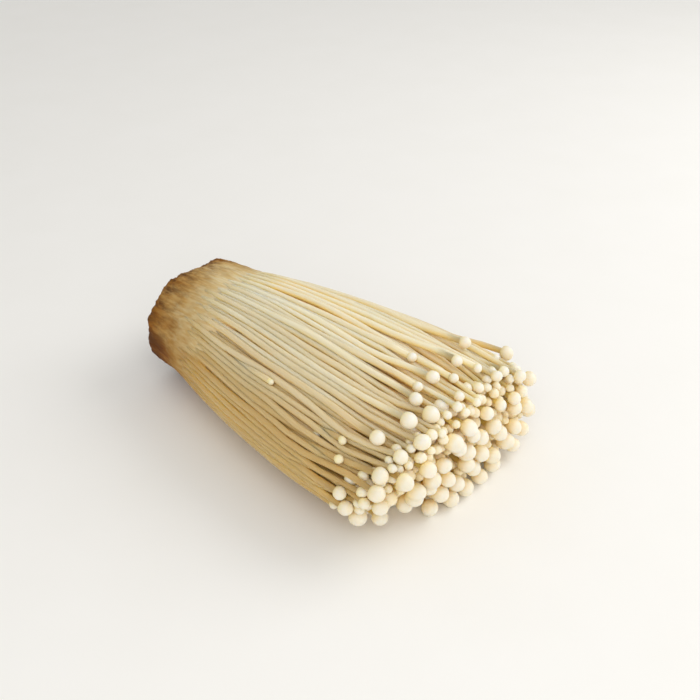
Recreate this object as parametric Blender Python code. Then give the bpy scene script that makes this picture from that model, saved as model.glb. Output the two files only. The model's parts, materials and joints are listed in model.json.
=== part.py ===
"""Enoki mushroom bunch lying on its side: a fused root base with its mushrooms fanned out towards +X.

X runs from the cut end of the root base to the caps, Y across the bunch, and Z up from its resting surface.
Lengths in the constants are millimetres, and MM turns them to Blender's metres.
"""

import math

import bmesh
import bpy
import numpy as np

MM = 0.001

# The envelope of the bunch at four places along it: (x, middle y, half width, height, underside).
CUT_X, FOOT_X, MIDDLE_X, FAN_X = -74.0, -45.0, 0.0, 60.0
STATIONS = (
    (CUT_X, 1.5, 26.5, 40.5, 1.2),
    (FOOT_X, 1.1, 31.9, 46.5, -0.6),
    (MIDDLE_X, 1.4, 42.1, 46.5, 0.3),
    (FAN_X, 2.6, 47.1, 40.0, 1.8),
)
WIDEST = 0.42  # the height of the widest level, as a share of the height
UPPER_POWER = 2.0  # the superellipse power of the upper outline
LOWER_POWERS = (2.0, 2.8)  # of the underside at the foot and at the fan, where it has sagged flatter
GAP = 0.3  # between neighbouring solids

# The root base.
BASE_SIDES = 28
CUT_SLANT = (-0.10, -0.06)  # how the cut leans back, in x for each mm of y and of z
BASE_RINGS = (  # (distance from the cut, scale of the outline)
    (0.0, 0.45),
    (0.0, 0.72),
    (0.0, 0.90),
    (1.5, 0.97),
    (5.0, 1.0),
    (12.0, 1.0),
    (20.5, 1.0),
    (29.0, 1.0),
)
RIM_X, RIM_DROP = 4.2, 1.8  # how far the top of the cut is worn away, along and down
RIM_Y, RIM_WIDTH, RIM_FADE = 4.0, 13.0, 14.0
RIM_LOW, RIM_HIGH = 26.0, 40.0

# The mushrooms.
MUSHROOM_COUNT = 180
SINGLE_COUNT = 58
SEED = 3
FIRST_JITTER = 0.5
PUSHES = 300
PUSH_REACH = 1.05  # how far a stem pushes its neighbours away, in spacings of an even lattice
PUSH_SHARE = 0.2  # of what is missing, in one push
FAR = 1000.0  # a stem's distance from itself, so that it isn't its own neighbour
STEM_RADII = (1.05, 1.25, 1.0)  # at the foot, half way and the neck
STEM_SHARES = (0.0, 0.5, 0.95)  # where those stand between the foot and the foremost cap
STEM_STATIONS = (-10.0, 20.0, 45.0)  # the same for all, so that neighbours' stems run side by side
FRONT_X = 66.5  # the centre of the foremost caps
FRONT_LEAN = 0.075  # how their face leans, in x for each mm of z
FRONT_TWIST = -0.0025  # and in x for each mm of y times z
FRONT_DROPS, FRONT_DROP_POWER = (10.0, 6.0), 6  # how it rounds back to its -y and +y sides
CORNER_DROP = 11.0  # and to its lower -y corner
CORNER_Y, CORNER_Z = (-10.0, -28.0), (22.0, 4.0)
LAYER_SETBACK = (0.0, 4.4, 8.6, 13.0, 17.0)
LAYER_CAP_RADIUS = (2.95, 2.65, 2.35, 2.1, 1.9)
CAP_SHRINK = 0.3  # how much smaller the caps are at the far upper side
CAP_SHRINK_Y, CAP_SHRINK_Z = (0.0, 22.0), (18.0, 32.0)
LAYER_SPACING = 6.1  # between the caps of one layer
SMALLEST_CAP = 1.45
LINE_POINTS = 60  # along a stem, where its clearance is measured

# Shorter mushrooms that lie on top: (cap x, cap y, cap radius).
SHORT_ONES = (
    (40.0, 5.0, 1.7),
    (52.5, 1.5, 2.2),
    (56.5, 5.5, 1.6),
    (44.0, 29.0, 2.1),
    (51.5, 15.0, 1.9),
    (58.0, 18.0, 1.7),
    (52.0, -6.5, 1.8),
    (55.5, -12.0, 2.2),
    (60.5, -20.0, 3.0),
    (56.0, -29.5, 2.5),
)
SHORT_SWAY = 1.5  # the most that a short one's cap leans to either side
SHORT_LIFT = 1.0  # how far its cap rises out of the bundle, in cap radii
BEND_LENGTH = 28.0  # over which its stem leaves the bundle
BEND_SHARES = (0.9, 0.6, 0.3)
STRAY = (51.0, 46.0, 31.0, 2.7)  # the one that stands out of the side: cap x, y, z and radius

# Cap outlines, from the neck to the tip: (distance along from the cap's centre, radius), in cap radii.
FINE_CAP = ((-0.85, 0.0), (-0.45, 0.86), (0.1, 1.0), (0.65, 0.74), (0.96, 0.16))
PLAIN_CAP = ((-0.8, 0.0), (-0.25, 1.0), (0.5, 0.86), (0.94, 0.2))

ROOT_DEPTH = 3.0  # how deep the inner stems reach into the root base
WELD_DISTANCE = 1e-6

COLORS = {
    "root_base": (0.42, 0.27, 0.12, 1.0),
    "mushroom": (0.86, 0.79, 0.62, 1.0),
}
ROUGHNESS = {"root_base": 0.85, "mushroom": 0.45}

STATION_CURVES = [
    np.polyfit([s[0] for s in STATIONS], [s[k] for s in STATIONS], 3) for k in (1, 2, 3, 4)
]


def section(x):
    """Middle y, half width, height and underside of the envelope at x, on a cubic through the stations."""
    return [float(np.polyval(curve, x)) for curve in STATION_CURVES]


def place(x, spot, inset):
    """The point at x for a spot in the unit disc, which is stretched to the envelope's outline less inset."""
    middle_y, half_width, height, underside = section(x)
    level = underside + WIDEST * height
    reach = math.hypot(*spot)
    if reach == 0:
        return np.array([x, middle_y, level])
    across, up = spot[0] / reach, spot[1] / reach
    power = np.interp(x, (FOOT_X, FAN_X), LOWER_POWERS) if up < 0 else UPPER_POWER
    stretch = (abs(across) ** power + abs(up) ** power) ** (-1 / power)
    half_height = (WIDEST if up < 0 else 1 - WIDEST) * height - inset
    y = middle_y + reach * stretch * across * (half_width - inset)
    z = level + reach * stretch * up * half_height
    return np.array([x, y, z])


def spread_spots(count):
    """Spots in the unit disc that push each other apart until they fill the middle section evenly."""
    _, half_width, height, _ = section(MIDDLE_X)
    size = np.array([half_width, height / 2])
    turn = math.pi * (3 - math.sqrt(5))
    index = np.arange(count)
    reach = np.sqrt((index + 0.5) / count)
    spots = np.stack([reach * np.cos(index * turn), reach * np.sin(index * turn)], 1) * size
    spots += np.random.default_rng(SEED).normal(0, FIRST_JITTER, (count, 2))
    hexagonal = math.sqrt(math.pi * size[0] * size[1] / count * 2 / math.sqrt(3))
    for _ in range(PUSHES):
        apart = spots[:, None] - spots[None]
        distance = np.hypot(apart[..., 0], apart[..., 1]) + np.eye(count) * FAR
        push = np.clip(PUSH_REACH * hexagonal - distance, 0, None) / distance
        spots += PUSH_SHARE * (apart * push[..., None]).sum(1)
        out = np.hypot(*(spots / size).T)
        spots /= np.maximum(out, 1)[:, None]
    return spots / size


def smooth_step(value):
    value = min(max(value, 0.0), 1.0)
    return value * value * (3 - 2 * value)


def part_way(value, ends):
    """0 at the first of the two ends and 1 at the second, with a smooth change between them."""
    return smooth_step((value - ends[0]) / (ends[1] - ends[0]))


def front_x(y, z):
    """Where the caps' face stands for a place in the fan: it leans, and rounds back to its sides."""
    middle_y, half_width = section(FAN_X)[:2]
    side = FRONT_DROPS[int(y > middle_y)] * ((y - middle_y) / half_width) ** FRONT_DROP_POWER
    corner = CORNER_DROP * part_way(y, CORNER_Y) * part_way(z, CORNER_Z)
    return FRONT_X + FRONT_LEAN * z + FRONT_TWIST * y * z - side - corner


class Mushroom:
    """One mushroom: its spot in the bundle, its cap's x and radius, and how far it leaves its place."""

    def __init__(self, spot):
        self.spot = spot
        self.cap_x = 0.0
        self.cap_radius = 0.0
        self.leave = np.zeros(3)

    def point(self, x):
        base = place(x, self.spot, STEM_RADII[1])
        return base + self.leave * smooth_step(1 - (self.cap_x - x) / BEND_LENGTH)

    def stem_radius(self, x):
        share = (x - FOOT_X) / (FRONT_X - FOOT_X)
        return float(np.interp(share, STEM_SHARES, STEM_RADII))

    def line(self, start, count):
        """Points along the stem from x = start to the cap's centre."""
        return [self.point(x) for x in np.linspace(start, self.cap_x, count)]


def outward(spot):
    direction = np.array([0.0, spot[0], spot[1]])
    return direction / np.linalg.norm(direction)


def set_layers(mushrooms):
    """Gives each cap the foremost layer with room for it, so that neighbours' caps are staggered."""
    last = len(LAYER_SETBACK) - 1
    taken = []
    for mushroom in mushrooms:
        there = place(FAN_X, mushroom.spot, STEM_RADII[1])
        near = {
            layer for layer, other in taken if np.linalg.norm(other - there) < LAYER_SPACING
        }
        layer = min(set(range(last)) - near, default=last)
        taken.append((layer, there))
        mushroom.cap_x = front_x(there[1], there[2]) - LAYER_SETBACK[layer]
        small = CAP_SHRINK * part_way(there[1], CAP_SHRINK_Y) * part_way(there[2], CAP_SHRINK_Z)
        mushroom.cap_radius = LAYER_CAP_RADIUS[layer] * (1 - small)


def take_nearest(mushrooms, x, y, z):
    """The outermost mushroom nearest to a place, taken off the list."""
    aim = np.array([x, y, z])
    best = min(mushrooms, key=lambda m: np.linalg.norm(place(x, m.spot, STEM_RADII[1]) - aim))
    mushrooms.remove(best)
    return best


def set_short_ones(outer):
    """Turns some of the outer mushrooms into the short ones on top and the stray at the side."""
    free = list(outer)
    x, y, z, radius = STRAY
    stray = take_nearest(free, x, y, z)
    stray.cap_x, stray.cap_radius = x, radius
    stray.leave = np.array([x, y, z]) - place(x, stray.spot, STEM_RADII[1])
    for x, y, radius in SHORT_ONES:
        short = take_nearest(free, x, y, section(x)[2])
        here = place(x, short.spot, STEM_RADII[1])
        sway = min(max(y - here[1], -SHORT_SWAY), SHORT_SWAY)
        short.cap_x, short.cap_radius = x, radius
        short.leave = outward(short.spot) * radius * SHORT_LIFT + np.array([0.0, sway, 0.0])


def rest_on_surface(mushrooms):
    """Lifts what would reach below the surface, along the whole stem."""
    for mushroom in mushrooms:
        lowest = mushroom.point(mushroom.cap_x)[2] - mushroom.cap_radius
        if lowest < 0:
            mushroom.leave = mushroom.leave + np.array([0.0, 0.0, -lowest])


def fit_caps(mushrooms):
    """Shrinks the caps that would touch a neighbour's stem or cap."""
    lines = [np.array(m.line(FOOT_X, LINE_POINTS)) for m in mushrooms]
    centres = np.array([line[-1] for line in lines])
    for i, mushroom in enumerate(mushrooms):
        for j, other in enumerate(mushrooms):
            if i == j:
                continue
            room = np.linalg.norm(lines[j] - centres[i], axis=1).min()
            room -= other.stem_radius(centres[i][0]) + GAP
            mushroom.cap_radius = min(mushroom.cap_radius, room)
    for i, mushroom in enumerate(mushrooms):
        for j in range(i + 1, len(mushrooms)):
            other = mushrooms[j]
            distance = np.linalg.norm(centres[i] - centres[j])
            over = mushroom.cap_radius + other.cap_radius + GAP - distance
            if over > 0:
                mushroom.cap_radius -= over / 2
                other.cap_radius -= over / 2
    for mushroom in mushrooms:
        mushroom.cap_radius = max(mushroom.cap_radius, SMALLEST_CAP)


def profile(mushroom, start, cap_shape):
    """The points and radii from the foot, along the stem, to the tip of the cap."""
    radius = mushroom.cap_radius
    neck_x = mushroom.cap_x + cap_shape[0][0] * radius
    stations = [start, *STEM_STATIONS, neck_x]
    if mushroom.leave.any():
        stations += [mushroom.cap_x - BEND_LENGTH * share for share in BEND_SHARES]
    stations = sorted(x for x in stations if x <= neck_x)
    rows = [(x, mushroom.stem_radius(x)) for x in stations]
    rows += [(mushroom.cap_x + along * radius, wide * radius) for along, wide in cap_shape[1:]]
    return [(mushroom.point(x), wide) for x, wide in rows]


def tubes(name, row_lists, sides, collection):
    """Round bodies along lists of points with a radius at each: curves with a bevel and filled caps."""
    curve = bpy.data.curves.new(name, "CURVE")
    curve.dimensions = "3D"
    curve.fill_mode = "FULL"
    curve.bevel_depth = 1.0
    curve.bevel_resolution = (sides - 4) // 2
    curve.use_fill_caps = True
    for rows in row_lists:
        spline = curve.splines.new("POLY")
        spline.points.add(len(rows) - 1)
        for target, (point, radius) in zip(spline.points, rows):
            target.co = (*(point * MM), 1.0)
            target.radius = radius * MM
    obj = bpy.data.objects.new(name, curve)
    collection.objects.link(obj)
    return obj


def made_mesh(obj):
    """The curve object as a mesh object with its caps welded on, so that a Boolean can read it."""
    graph = bpy.context.evaluated_depsgraph_get()
    mesh = bpy.data.meshes.new_from_object(obj.evaluated_get(graph))
    shape = bmesh.new()
    shape.from_mesh(mesh)
    bmesh.ops.remove_doubles(shape, verts=shape.verts, dist=WELD_DISTANCE)
    bmesh.ops.recalc_face_normals(shape, faces=shape.faces)
    shape.to_mesh(mesh)
    shape.free()
    made = bpy.data.objects.new(obj.name, mesh)
    obj.users_collection[0].objects.link(made)
    bpy.data.objects.remove(obj)
    made.name = mesh.name
    return made


def base_ring(shape, along, scale):
    """A closed loop of edges round the root base, flat where it rests, at a distance from the slanted cut."""
    verts = []
    for side in range(BASE_SIDES):
        angle = 2 * math.pi * (side + 0.5) / BASE_SIDES
        point = place(CUT_X + along, (scale * math.cos(angle), scale * math.sin(angle)), 0.0)
        slant = CUT_SLANT[0] * point[1] + CUT_SLANT[1] * (point[2] - section(CUT_X)[2] / 2)
        point[0] += slant * (1 - along / (FOOT_X - CUT_X))
        worn = math.exp(-(((point[1] - RIM_Y) / RIM_WIDTH) ** 2)) * part_way(point[2], (RIM_LOW, RIM_HIGH))
        worn *= smooth_step(1 - along / RIM_FADE)
        point += np.array([RIM_X, 0.0, -RIM_DROP]) * worn
        point[2] = max(point[2], 0.0)
        verts.append(shape.verts.new(point * MM))
    return [shape.edges.new((verts[i - 1], verts[i])) for i in range(BASE_SIDES)]


def make_root_base(inner, collection):
    """The fused foot, lofted along the envelope, with the inner mushrooms grown out of it."""
    shape = bmesh.new()
    loops = [base_ring(shape, along, scale) for along, scale in BASE_RINGS]
    for back, front in zip(loops, loops[1:]):
        bmesh.ops.bridge_loops(shape, edges=back + front)
    for loop in (loops[0], loops[-1]):
        bmesh.ops.contextual_create(shape, geom=loop)
    bmesh.ops.recalc_face_normals(shape, faces=shape.faces)
    mesh = bpy.data.meshes.new("root_base")
    shape.to_mesh(mesh)
    shape.free()
    obj = bpy.data.objects.new("root_base", mesh)
    collection.objects.link(obj)
    grown = obj.modifiers.new("inner_mushrooms", "BOOLEAN")
    grown.operation = "UNION"
    grown.solver = "EXACT"
    grown.object = inner
    return obj


def material(name, kind):
    made = bpy.data.materials.new(name)
    made.use_nodes = True
    shader = made.node_tree.nodes["Principled BSDF"]
    shader.inputs["Base Color"].default_value = COLORS[kind]
    shader.inputs["Roughness"].default_value = ROUGHNESS[kind]
    shader.inputs["Metallic"].default_value = 0.0
    made.diffuse_color = COLORS[kind]
    return made


def new_collection(name):
    made = bpy.data.collections.new(name)
    bpy.context.scene.collection.children.link(made)
    return made


def centre_on_surface(parts, helpers):
    """Parents every piece to an empty that puts the bunch's box over the origin, resting on Z = 0."""
    bpy.context.view_layer.update()
    graph = bpy.context.evaluated_depsgraph_get()
    points = []
    for obj in parts.objects:
        mesh = bpy.data.meshes.new_from_object(obj.evaluated_get(graph))
        points += [tuple(vert.co) for vert in mesh.vertices]
        bpy.data.meshes.remove(mesh)
    low, high = np.min(points, axis=0), np.max(points, axis=0)
    bunch = bpy.data.objects.new("enoki_bunch", None)
    bunch.location = (-(low[0] + high[0]) / 2, -(low[1] + high[1]) / 2, -low[2])
    for obj in [*parts.objects, *helpers.objects]:
        obj.parent = bunch
    parts.objects.link(bunch)


def main():
    for obj in list(bpy.data.objects):
        bpy.data.objects.remove(obj)
    parts = new_collection("enoki_mushroom_bunch")
    helpers = new_collection("helpers")

    mushrooms = [Mushroom(spot) for spot in spread_spots(MUSHROOM_COUNT)]
    mushrooms.sort(key=lambda m: -math.hypot(*m.spot))
    outer, inner = mushrooms[:SINGLE_COUNT], mushrooms[SINGLE_COUNT:]
    outer.sort(key=lambda m: math.atan2(m.spot[1], m.spot[0]))
    mushrooms = outer + inner
    set_layers(mushrooms)
    set_short_ones(outer)
    rest_on_surface(outer)
    fit_caps(mushrooms)

    for number, mushroom in enumerate(outer, 1):
        rows = profile(mushroom, FOOT_X + GAP, FINE_CAP)
        obj = tubes(f"mushroom_{number:02d}", [rows], 6, parts)
        obj.data.materials.append(material(obj.name, "mushroom"))
    rows = [profile(mushroom, FOOT_X - ROOT_DEPTH, PLAIN_CAP) for mushroom in inner]
    grown = made_mesh(tubes("inner_mushrooms", rows, 4, helpers))
    grown.hide_render = True
    grown.display_type = "WIRE"
    base = make_root_base(grown, parts)
    base.data.materials.append(material("root_base", "root_base"))
    centre_on_surface(parts, helpers)


main()
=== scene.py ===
"""The visual model of a bunch of enoki mushrooms lying on its side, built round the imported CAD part."""

import functools
import json
import math

import bpy
import numpy as np
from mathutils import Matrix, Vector

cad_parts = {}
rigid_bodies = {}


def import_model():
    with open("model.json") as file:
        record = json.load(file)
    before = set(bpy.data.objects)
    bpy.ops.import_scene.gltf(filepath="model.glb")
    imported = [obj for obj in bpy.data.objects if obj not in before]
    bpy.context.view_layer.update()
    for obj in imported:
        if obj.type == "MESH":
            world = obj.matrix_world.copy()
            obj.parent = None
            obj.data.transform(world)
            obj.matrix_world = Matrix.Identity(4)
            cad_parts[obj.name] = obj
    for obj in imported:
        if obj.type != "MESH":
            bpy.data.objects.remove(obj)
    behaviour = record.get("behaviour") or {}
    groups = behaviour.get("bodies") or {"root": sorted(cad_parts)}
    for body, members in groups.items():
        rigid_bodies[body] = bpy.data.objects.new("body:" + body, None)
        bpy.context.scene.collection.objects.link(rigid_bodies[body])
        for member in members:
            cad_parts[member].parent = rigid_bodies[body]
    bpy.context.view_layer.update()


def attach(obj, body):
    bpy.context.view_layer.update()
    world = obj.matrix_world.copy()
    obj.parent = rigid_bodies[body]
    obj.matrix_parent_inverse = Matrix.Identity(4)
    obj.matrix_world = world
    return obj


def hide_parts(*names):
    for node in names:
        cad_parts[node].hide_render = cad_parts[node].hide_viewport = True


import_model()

bl_info = {
    "name": "Enoki mushroom bunch",
    "version": (1, 0, 0),
    "blender": (4, 5, 0),
    "location": "View3D > Sidebar > Enoki",
    "description": "Builds a bunch of enoki mushrooms: the fused root base, the mushrooms and the stage",
    "category": "Object",
}

MM = 0.001
BODY = "root"

# The layout of the CAD part, in its own millimetres: x from the cut end to the caps, y across, z up.
# The envelope of the bunch at four places along it: (x, middle y, half width, height, underside).
CUT_X, FOOT_X, MIDDLE_X, FAN_X = -74.0, -45.0, 0.0, 60.0
STATIONS = (
    (CUT_X, 1.5, 26.5, 40.5, 1.2),
    (FOOT_X, 1.1, 31.9, 46.5, -0.6),
    (MIDDLE_X, 1.4, 42.1, 46.5, 0.3),
    (FAN_X, 2.6, 47.1, 40.0, 1.8),
)
WIDEST = 0.42  # the height of the widest level, as a share of the height
UPPER_POWER = 2.0  # the superellipse power of the upper outline
LOWER_POWERS = (2.0, 2.8)  # of the underside at the foot and at the fan, where it has sagged flatter
BUNCH_SHIFT = np.array([1.9335, -2.5707, 0.2485])  # what put the part's box over the origin
MUSHROOM_COUNT = 180
SINGLE_COUNT = 58
SEED = 3
# How the mushrooms' spots push each other apart, from a spiral that is shaken a little.
FIRST_JITTER = 0.5
PUSHES = 300
PUSH_REACH = 1.05
PUSH_SHARE = 0.2
FAR = 1000.0  # keeps a spot from pushing itself
STEM_INSET = 1.25  # how deep the middles of the outermost stems lie in the envelope
# Where a stem has its tip in the foot, its foot, its thickest place and its neck.
STEM_RADIUS_X = (-68.0, -45.0, 13.0, 65.0)
TIP_RADIUS, FOOT_RADIUS = 0.45, 1.0
FRONT_X = 66.5  # the face of the fan
FRONT_LEAN = 0.075  # how the face leans, in x for each mm of z
FRONT_TWIST = -0.0025  # and in x for each mm of y times z
FRONT_DROPS, FRONT_DROP_POWER = (10.0, 6.0), 6  # how it rounds back to its -y and +y sides
CORNER_DROP, CORNER_Y, CORNER_Z = 11.0, (-10.0, -28.0), (22.0, 4.0)  # and to its lower -y corner
LAYER_SETBACK = (0.0, 4.4, 8.6, 13.0, 17.0)  # how far each layer of caps stands behind the face
LAYER_CAP_SHARE = (1.0, 0.917, 0.8, 0.7, 0.633)  # of the foremost caps' radius
LAYER_SPACING = 6.1  # caps nearer than this stand in different layers
SHORT_ONES = (  # (x, y, cap radius) of those that lie on top with their caps well back
    (40.0, 5.0, 1.7),
    (52.5, 1.5, 2.2),
    (56.5, 5.5, 1.6),
    (44.0, 29.0, 2.1),
    (51.5, 15.0, 1.9),
    (58.0, 18.0, 1.7),
    (52.0, -6.5, 1.8),
    (55.5, -12.0, 2.2),
    (60.5, -20.0, 3.0),
    (56.0, -29.5, 2.5),
)
SHORT_SWAY = 1.5  # how far one may lean aside to its place
SHORT_LIFT = 1.0  # how far it rises, as a share of its cap's radius
BEND_LENGTH = 28.0  # over which a mushroom leaves its place in the bundle
STRAY = (51.0, 46.0, 31.0, 2.7)  # (x, y, z, cap radius) of the one that stands out at the side
CUT_SLANT = (-0.10, -0.06)  # how the cut leans back, in x for each mm of y and of z

# How the mushrooms settle against each other.
PATH_STEP = 4.0
PATH_X = np.arange(-68.0, 79.0, PATH_STEP)
DIVE_FROM, DIVE_TO, DIVE_DEPTH = -28.0, -64.0, 1.4  # where the feet sink into the root base
SETTLE_TURNS = 160
EASE = 0.7  # the share of a push that is followed in one turn
HOLD = 0.015  # and the share of its way home that a path takes back
NEAR, NEAR_STEP = 9.0, 4  # only mushrooms that come this near are compared, at every fourth place
BEND_STEP, BEND_CUTOFF = 20.0, 1e-4  # the shortest bend of a stem
PATH_END = 0.01  # keeps a cap's place within the last step of its path
FREE_REACH = 9.0  # how far out of the envelope those may go that leave the bundle
TINY = 1e-6  # keeps a distance from being zero
SQUEEZE = 0.86  # how near stems may lie, as a share of their radii
CAP_SLIDE = (6.0, 0.4)  # how far a cap may slip back and forward
# Caps that still press on each other are made smaller.
SHRINK_TURNS, SHRINK_SLOWNESS, CAP_PRESS, SMALLEST_CAP = 30, 3, 0.05, 1.5
CAP_CHANCE = (0.9, 1.06)  # how much the caps' radii differ
THIN_REACH, FILL_REACH = (0.86, 1.0), (0.1, 0.86)  # where thin mushrooms stand on the outside and within
THIN_TRIES = 60
THIN_SHARE = (0.82, 1.0)  # of a full-grown stem's radius
THIN_CAPS = (1.5, 2.1)
THIN_SETBACK = (2.0, 7.0)  # how far their caps stand behind the face
THIN_TUCK, THIN_TUCK_LENGTH = 2.6, 30.0  # how far and over what length their ends dive inwards
THIN_WHITE, BLUNT_WHITE = 0.9, 0.55  # how white their caps and the blunt ends are beside the full-grown caps
SHORT_THIN_ONES = (  # (x, y, cap radius) of the blunt ends that show on the outside
    (7.5, -35.0, 1.1),
    (18.5, -33.7, 1.1),
    (44.0, -21.0, 1.4),
    (45.0, -35.0, 1.5),
    (34.0, -43.5, 1.4),
    (48.0, -44.5, 1.6),
    (-4.7, -2.0, 0.9),
    (-5.7, -18.8, 1.0),
    (-12.6, -24.2, 1.0),
)
BLUNT_REACH, BLUNT_LIFT = 0.93, 2.2  # they rise from between the others
SHORT_THIN_HEIGHT = 0.85  # where they are looked for, as a share of the envelope's height
CAP_SHRINK, CAP_SHRINK_Y, CAP_SHRINK_Z = 0.3, (0.0, 22.0), (18.0, 32.0)  # smaller caps at the far upper side
# The stems' gentle waves, which grow from the foot over WAVE_GROWTH.
WAVE_SIZE = 0.4
WAVE_LENGTHS = (70.0, 120.0)
WAVE_GROWTH = 40.0

# The curves through the stations for the middle y, the half width, the height and the underside.
STATION_X, *STATION_VALUES = zip(*STATIONS)
STATION_CURVES = [np.polyfit(STATION_X, values, 3) for values in STATION_VALUES]


def section(x):
    """Middle y, half width, height and underside of the envelope at x."""
    return [float(np.polyval(curve, x)) for curve in STATION_CURVES]


def lower_power(x):
    return np.interp(x, (FOOT_X, FAN_X), LOWER_POWERS)


def place(x, spot, inset):
    """The point at x for a spot in the unit disc, which is stretched to the envelope's outline less inset."""
    middle_y, half_width, height, underside = section(x)
    level = underside + WIDEST * height
    reach = math.hypot(*spot)
    if reach == 0:
        return np.array([x, middle_y, level])
    across, up = spot[0] / reach, spot[1] / reach
    power = lower_power(x) if up < 0 else UPPER_POWER
    stretch = (abs(across) ** power + abs(up) ** power) ** (-1 / power)
    half_height = (WIDEST if up < 0 else 1 - WIDEST) * height - inset
    y = middle_y + reach * stretch * across * (half_width - inset)
    z = level + reach * stretch * up * half_height
    return np.array([x, y, z])


def reach_at(x, y, z, inset):
    """The inverse of place for arrays: 0 in the middle of the bundle, 1 on the outline less inset."""
    middle_y, half_width, height, underside = (np.polyval(curve, x) for curve in STATION_CURVES)
    across = (y - middle_y) / (half_width - inset)
    up = z - underside - WIDEST * height
    lower = up < 0
    up = up / (np.where(lower, WIDEST, 1 - WIDEST) * height - inset)
    power = np.where(lower, lower_power(x), UPPER_POWER)
    return (np.abs(across) ** power + np.abs(up) ** power) ** (1 / power)


def spread_spots(count):
    """Spots in the unit disc that push each other apart until they fill the middle section evenly."""
    _, half_width, height, _ = section(MIDDLE_X)
    size = np.array([half_width, height / 2])
    turn = math.pi * (3 - math.sqrt(5))
    index = np.arange(count)
    reach = np.sqrt((index + 0.5) / count)
    spots = np.stack([reach * np.cos(index * turn), reach * np.sin(index * turn)], 1) * size
    spots += np.random.default_rng(SEED).normal(0, FIRST_JITTER, (count, 2))
    hexagonal = math.sqrt(math.pi * size[0] * size[1] / count * 2 / math.sqrt(3))
    for _ in range(PUSHES):
        apart = spots[:, None] - spots[None]
        distance = np.hypot(apart[..., 0], apart[..., 1]) + np.eye(count) * FAR
        push = np.clip(PUSH_REACH * hexagonal - distance, 0, None) / distance
        spots += PUSH_SHARE * (apart * push[..., None]).sum(1)
        out = np.hypot(*(spots / size).T)
        spots /= np.maximum(out, 1)[:, None]
    return spots / size


def smooth_step(value):
    value = np.clip(value, 0.0, 1.0)
    return value * value * (3 - 2 * value)


def front_x(y, z):
    """Where the caps' face stands for a place in the fan: it leans, and rounds back to its sides."""
    middle_y, half_width = section(FAN_X)[:2]
    side = ((y - middle_y) / half_width) ** FRONT_DROP_POWER * np.where(y < middle_y, *FRONT_DROPS)
    low = smooth_step((CORNER_Y[0] - y) / (CORNER_Y[0] - CORNER_Y[1]))
    low = low * smooth_step((CORNER_Z[0] - z) / (CORNER_Z[0] - CORNER_Z[1]))
    return FRONT_X + FRONT_LEAN * z + FRONT_TWIST * y * z - side - CORNER_DROP * low


class Mushroom:
    """One mushroom: its spot in the bundle, its cap, how far it leaves its place, and its settled path."""

    def __init__(self, spot, radii, cap_x=0.0, cap_radius=0.0, stem_share=1.0):
        self.spot = spot
        self.radii = radii
        self.cap_x = cap_x
        self.cap_radius = cap_radius
        self.stem_share = stem_share
        self.white = 1.0
        self.tuck = 0.0
        self.leave = np.zeros(3)
        self.path = None

    def point(self, x, dive):
        """Where its stem's middle is at x before it settles, sunk by dive."""
        tuck = self.tuck * smooth_step(1 - (self.cap_x - x) / THIN_TUCK_LENGTH)
        base = place(x, self.spot, STEM_INSET + dive + tuck)
        return base + self.leave * smooth_step(1 - (self.cap_x - x) / BEND_LENGTH)

    def stem_radius(self, x):
        return np.interp(x, STEM_RADIUS_X, self.radii) * self.stem_share


def outward(spot):
    direction = np.array([0.0, spot[0], spot[1]])
    return direction / np.linalg.norm(direction)


def set_layers(mushrooms, cap_radius):
    """Gives each cap the foremost layer with room for it, so that neighbours' caps are staggered."""
    last = len(LAYER_SETBACK) - 1
    taken = []
    for mushroom in mushrooms:
        there = place(FAN_X, mushroom.spot, STEM_INSET)
        near = {layer for layer, other in taken if np.linalg.norm(other - there) < LAYER_SPACING}
        layer = min(set(range(last)) - near, default=last)
        taken.append((layer, there))
        mushroom.cap_x = front_x(there[1], there[2]) - LAYER_SETBACK[layer]
        far = smooth_step((there[1] - CAP_SHRINK_Y[0]) / (CAP_SHRINK_Y[1] - CAP_SHRINK_Y[0]))
        high = smooth_step((there[2] - CAP_SHRINK_Z[0]) / (CAP_SHRINK_Z[1] - CAP_SHRINK_Z[0]))
        mushroom.cap_radius = cap_radius * LAYER_CAP_SHARE[layer] * (1 - CAP_SHRINK * far * high)


def take_nearest(mushrooms, x, y, z):
    """The outermost mushroom nearest to a place, taken off the list."""
    aim = np.array([x, y, z])
    best = min(mushrooms, key=lambda m: np.linalg.norm(place(x, m.spot, STEM_INSET) - aim))
    mushrooms.remove(best)
    return best


def set_short_ones(outer):
    """Turns some of the outer mushrooms into the short ones on top and the stray at the side."""
    free = list(outer)
    x, y, z, radius = STRAY
    stray = take_nearest(free, x, y, z)
    stray.cap_x, stray.cap_radius = x, radius
    stray.leave = np.array([x, y, z]) - place(x, stray.spot, STEM_INSET)
    for x, y, radius in SHORT_ONES:
        short = take_nearest(free, x, y, section(x)[2])
        here = place(x, short.spot, STEM_INSET)
        sway = min(max(y - here[1], -SHORT_SWAY), SHORT_SWAY)
        short.cap_x, short.cap_radius = x, radius
        short.leave = outward(short.spot) * radius * SHORT_LIFT + np.array([0.0, sway, 0.0])


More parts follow.
